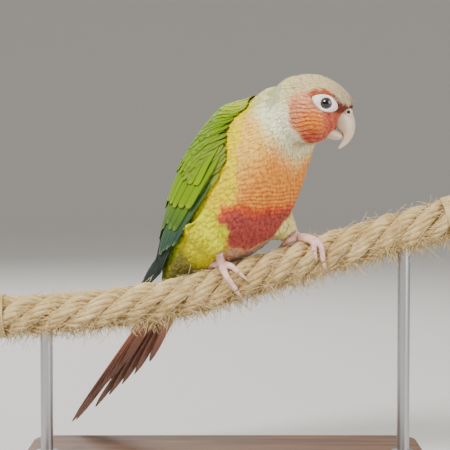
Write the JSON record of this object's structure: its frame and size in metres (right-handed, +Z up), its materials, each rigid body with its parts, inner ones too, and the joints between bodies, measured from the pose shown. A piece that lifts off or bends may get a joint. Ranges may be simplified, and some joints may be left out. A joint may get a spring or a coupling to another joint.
{
  "type": "life-size model of a pineapple green-cheeked conure on a rope perch",
  "caption": "Life-size still model of a pineapple green-cheeked conure leaning forward on a short cut length of rope, held over a flat base by two rods.",
  "frame": {"origin": "centre of the underside of the stand's base, which rests on the floor", "axes": "+X along the rope perch towards the side that the bird's head faces, +Y away from the side that the picture shows, +Z up"},
  "size_m": [0.2391, 0.1307, 0.194],
  "materials": {
    "rope": "natural fibre rope, dry and hairy",
    "whipping": "cotton twine, matte",
    "crown_feathers": "soft matte feather",
    "breast_feathers": "soft matte feather",
    "thigh_feathers": "soft matte feather",
    "wing_feathers": "sleek feather vane",
    "tail_feathers": "sleek feather vane",
    "horn": "horn, satin",
    "eye": "glass eye, wet gloss",
    "skin": "scaled skin, matte",
    "claw": "horn, satin",
    "wood": "dark stained wood, satin lacquer",
    "steel": "brushed steel rod"
  },
  "bodies": {
    "root": {"perch_rope_strand_1": "rope", "perch_rope_strand_2": "rope", "perch_rope_strand_3": "rope", "perch_rope_strand_4": "rope", "perch_whipping_left": "whipping", "perch_whipping_right": "whipping", "head": "crown_feathers", "neck": "crown_feathers", "torso": "breast_feathers", "bill_upper": "horn", "bill_lower": "horn", "eye_left": "eye", "eye_right": "eye", "thigh_left": "thigh_feathers", "foot_left": "skin", "thigh_right": "thigh_feathers", "foot_right": "skin", "tail": "tail_feathers", "wing_left": "wing_feathers", "wing_right": "wing_feathers", "stand_base": "wood", "stand_rod_left": "steel", "stand_rod_right": "steel", "claw_left_1": "claw", "claw_left_2": "claw", "claw_left_3": "claw", "claw_left_4": "claw", "claw_right_1": "claw", "claw_right_2": "claw", "claw_right_3": "claw", "claw_right_4": "claw"}
  },
  "joints": []
}
